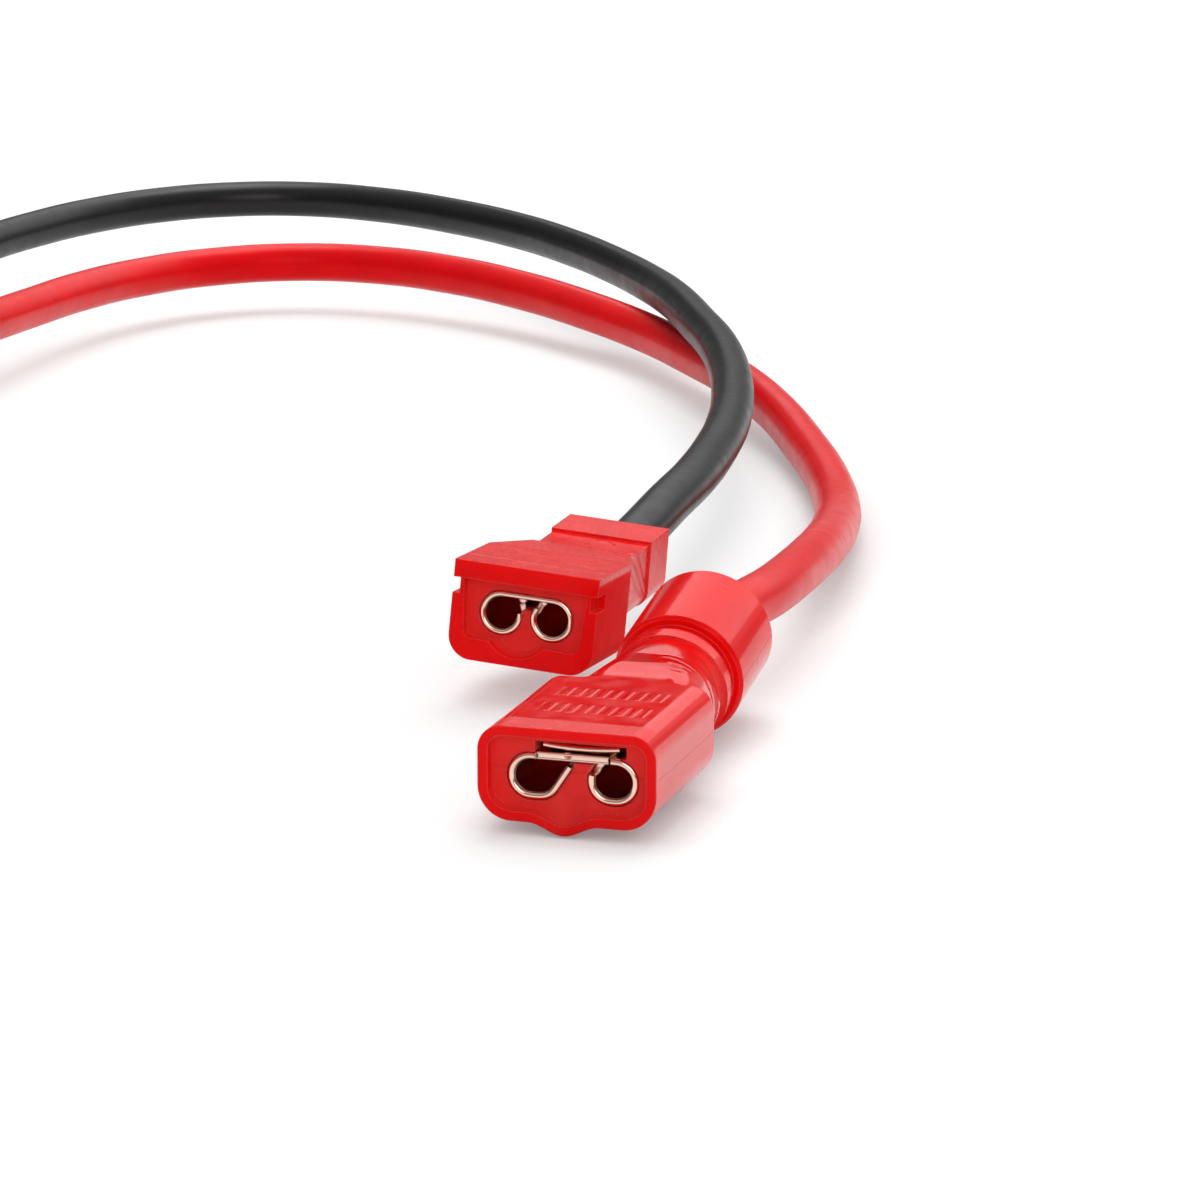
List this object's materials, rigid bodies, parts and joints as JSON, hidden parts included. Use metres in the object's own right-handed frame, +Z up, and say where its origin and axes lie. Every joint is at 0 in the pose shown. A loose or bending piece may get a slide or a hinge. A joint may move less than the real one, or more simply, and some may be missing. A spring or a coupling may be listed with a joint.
{
  "type": "speaker adapter lead",
  "caption": "Short red and black wire lead with a wide and a narrow insulated blade socket on one end and a plain shrouded plug on the other, lying on a surface.",
  "frame": {"origin": "on the surface the lead lies on, under the middle of the box round the two insulated sockets", "axes": "+Z up, the mouths of the sockets face -Y, the wires leave towards +Y"},
  "size_m": [0.079, 0.1305, 0.009],
  "materials": {
    "insulator_red": "satin moulded plastic",
    "terminal_metal": "bright rolled sheet",
    "copper_strand": "bright strand",
    "wire_red": "satin jacket",
    "wire_black": "satin jacket",
    "plug_black": "fine moulded texture"
  },
  "bodies": {
    "root": {"large_insulator": "insulator_red", "large_receptacle": "terminal_metal", "red_conductor_end": "copper_strand", "red_wire": "wire_red", "small_insulator": "insulator_red", "small_receptacle": "terminal_metal", "black_conductor_end": "copper_strand", "black_wire": "wire_black", "plug_housing": "plug_black", "plug_contact_red": "terminal_metal", "plug_contact_black": "terminal_metal", "red_conductor_plug_end": "copper_strand", "black_conductor_plug_end": "copper_strand"}
  },
  "joints": []
}
